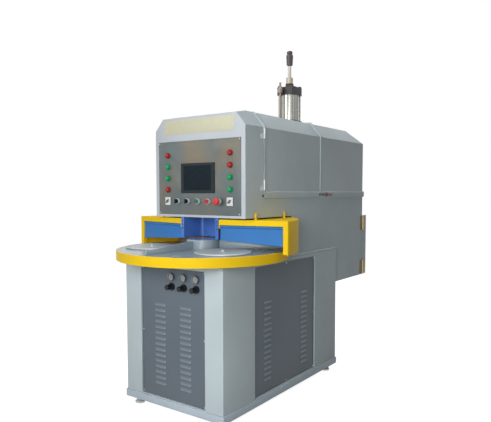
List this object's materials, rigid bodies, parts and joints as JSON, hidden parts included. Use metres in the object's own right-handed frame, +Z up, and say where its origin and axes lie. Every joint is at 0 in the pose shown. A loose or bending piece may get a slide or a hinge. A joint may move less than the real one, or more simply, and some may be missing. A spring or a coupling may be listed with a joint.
{
  "type": "centrifugal casting machine",
  "caption": "Floor-standing casting machine: louvred cabinet, guarded turntable with spinning mould plates, overhanging control head, hooded furnace column and roof dosing cylinder.",
  "frame": {"origin": "centre of the footprint on the floor", "axes": "+Z up from the floor, operator in front at -Y, hood hinges and gauges to +X"},
  "size_m": [1.0038, 1.8765, 2.0355],
  "materials": {
    "grey_paint": "satin powder coat",
    "light_paint": "satin powder coat",
    "dark_paint": "satin powder coat",
    "plinth_paint": "satin powder coat",
    "yellow_paint": "gloss paint",
    "flap_paint": "satin paint",
    "shield_paint": "satin paint",
    "table_paint": "satin paint",
    "steel": "turned or ground",
    "stainless": "fine brushed",
    "barrel_aluminium": "anodised",
    "black_cap": "black anodised",
    "brass_parts": "plain",
    "cast_parts": "painted casting",
    "black_plastic": "fine grain",
    "white_plastic": "fine grain",
    "screen": "smooth",
    "red_plastic": "smooth",
    "green_plastic": "smooth",
    "red_lever": "gloss paint",
    "chrome_ring": "polished",
    "insulation": "rough insulating board",
    "control_mix": "moulded cases"
  },
  "bodies": {
    "frame": {"deck_plate": "grey_paint", "levelling_feet": "grey_paint", "cabinet_shell": "grey_paint", "column_sides": "grey_paint", "column_plates": "grey_paint", "console_shell": "grey_paint", "hood_roof": "grey_paint", "hood_rear": "grey_paint", "fascia": "light_paint", "front_panel": "dark_paint", "side_panels": "dark_paint", "base_plinth": "plinth_paint", "drum_guards": "yellow_paint", "bay_shield": "shield_paint", "main_bearing": "steel", "press_cylinder": "steel", "control_panel": "stainless", "cylinder_barrel": "barrel_aluminium", "cylinder_caps": "black_cap", "brass_fittings": "brass_parts", "rear_hinges": "brass_parts", "drive_motors": "cast_parts", "melting_pot": "cast_parts", "dosing_pump": "cast_parts", "air_set": "black_plastic", "screen_bezel": "black_plastic", "switch_plates": "white_plastic", "screen_glass": "screen", "red_lamps": "red_plastic", "green_lamps": "green_plastic", "button_collars": "chrome_ring", "furnace": "insulation", "control_gear": "control_mix"},
    "turntable": {"table_disc": "table_paint", "rim_band": "yellow_paint", "table_hub": "table_paint", "partition_ribs": "table_paint"},
    "mould_1": {"mould_plate_1": "steel"},
    "mould_2": {"mould_plate_2": "steel"},
    "mould_3": {"mould_plate_3": "steel"},
    "press_slide_body": {"press_ram": "steel"},
    "press_head": {"press_plate": "steel"},
    "dosing_plunger": {"dosing_ram": "steel", "stop_collar": "black_plastic"},
    "right_flap": {"flap_right": "flap_paint"},
    "left_flap": {"flap_left": "flap_paint"},
    "door": {"hood_door": "grey_paint"},
    "lever": {"latch_lever": "red_lever"},
    "box_door": {"rear_door": "grey_paint"},
    "start_button": {"green_button": "green_plastic"},
    "halt_button": {"red_button": "red_plastic"},
    "emergency_button": {"stop_button": "red_plastic"},
    "selector_a": {"selector_1": "black_plastic"},
    "selector_b": {"selector_2": "black_plastic"},
    "switch_a": {"switch_handle_1": "black_plastic"},
    "switch_b": {"switch_handle_2": "black_plastic"},
    "knob_a": {"regulator_knob_1": "black_plastic"},
    "knob_b": {"regulator_knob_2": "black_plastic"},
    "knob_c": {"regulator_knob_3": "black_plastic"},
    "clutch": {"drive_clutch": "steel"}
  },
  "joints": [
    {"name": "table_index", "type": "hinge", "parent": "frame", "child": "turntable", "pos_m": [0, -0.48625, 0.835], "axis": [0, 0, 1], "continuous": true},
    {"name": "mould_spin_1", "type": "hinge", "parent": "turntable", "child": "mould_1", "pos_m": [0.23989, -0.62475, 0.8435], "axis": [0, 0, 1], "continuous": true},
    {"name": "mould_spin_2", "type": "hinge", "parent": "turntable", "child": "mould_2", "pos_m": [-0.23989, -0.62475, 0.8435], "axis": [0, 0, 1], "continuous": true},
    {"name": "mould_spin_3", "type": "hinge", "parent": "turntable", "child": "mould_3", "pos_m": [0, -0.20925, 0.8435], "axis": [0, 0, 1], "continuous": true},
    {"name": "press_stroke", "type": "slide", "parent": "frame", "child": "press_slide_body", "axis": [0, 0, -1], "range_m": [0, 0.05]},
    {"name": "press_spin", "type": "hinge", "parent": "press_slide_body", "child": "press_head", "pos_m": [0, -0.20925, 0.937], "axis": [0, 0, 1], "continuous": true},
    {"name": "dosing_stroke", "type": "slide", "parent": "frame", "child": "dosing_plunger", "axis": [0, 0, -1], "range_m": [0, 0.075]},
    {"name": "flap_right_swing", "type": "hinge", "parent": "frame", "child": "right_flap", "pos_m": [0.12767, -0.50836, 0.954], "axis": [0.986, 0.1666, 0], "range_deg": [-75, 60]},
    {"name": "flap_left_swing", "type": "hinge", "parent": "frame", "child": "left_flap", "pos_m": [-0.12767, -0.50836, 0.954], "axis": [0.986, -0.1666, 0], "range_deg": [-75, 60]},
    {"name": "door_swing", "type": "hinge", "parent": "frame", "child": "door", "pos_m": [0.309, -0.36725, 1.3], "axis": [0, 0, -1], "range_deg": [0, 110]},
    {"name": "latch_swing", "type": "hinge", "parent": "frame", "child": "lever", "pos_m": [0.319, 0.30475, 1.114], "axis": [0, 0, -1], "range_deg": [0, 120]},
    {"name": "box_door_swing", "type": "hinge", "parent": "frame", "child": "box_door", "pos_m": [0.309, 0.87, 0.761], "axis": [0, 0, -1], "range_deg": [0, 120]},
    {"name": "start_press", "type": "slide", "parent": "frame", "child": "start_button", "axis": [0, 1, 0], "range_m": [0, 0.004], "stiffness_N_per_m": 600},
    {"name": "halt_press", "type": "slide", "parent": "frame", "child": "halt_button", "axis": [0, 1, 0], "range_m": [0, 0.004], "stiffness_N_per_m": 600},
    {"name": "emergency_press", "type": "slide", "parent": "frame", "child": "emergency_button", "axis": [0, 1, 0], "range_m": [0, 0.006], "stiffness_N_per_m": 900},
    {"name": "selector_a_turn", "type": "hinge", "parent": "frame", "child": "selector_a", "pos_m": [-0.14, -0.54125, 1.082], "axis": [0, 1, 0], "range_deg": [-45, 45]},
    {"name": "selector_b_turn", "type": "hinge", "parent": "frame", "child": "selector_b", "pos_m": [-0.07, -0.54125, 1.082], "axis": [0, 1, 0], "range_deg": [-45, 45]},
    {"name": "switch_a_turn", "type": "hinge", "parent": "frame", "child": "switch_a", "pos_m": [-0.211, -0.54125, 1.082], "axis": [0, 1, 0], "range_deg": [0, 90]},
    {"name": "switch_b_turn", "type": "hinge", "parent": "frame", "child": "switch_b", "pos_m": [0.211, -0.54125, 1.082], "axis": [0, 1, 0], "range_deg": [0, 90]},
    {"name": "regulator_a_turn", "type": "hinge", "parent": "frame", "child": "knob_a", "pos_m": [-0.003, -0.74625, 0.662], "axis": [0, 1, 0], "range_deg": [-720, 720]},
    {"name": "regulator_b_turn", "type": "hinge", "parent": "frame", "child": "knob_b", "pos_m": [0.077, -0.74625, 0.662], "axis": [0, 1, 0], "range_deg": [-720, 720]},
    {"name": "regulator_c_turn", "type": "hinge", "parent": "frame", "child": "knob_c", "pos_m": [0.157, -0.74625, 0.662], "axis": [0, 1, 0], "range_deg": [-720, 720]},
    {"name": "clutch_spin", "type": "hinge", "parent": "frame", "child": "clutch", "pos_m": [0, -0.20925, 0.78], "axis": [0, 0, 1], "continuous": true}
  ]
}
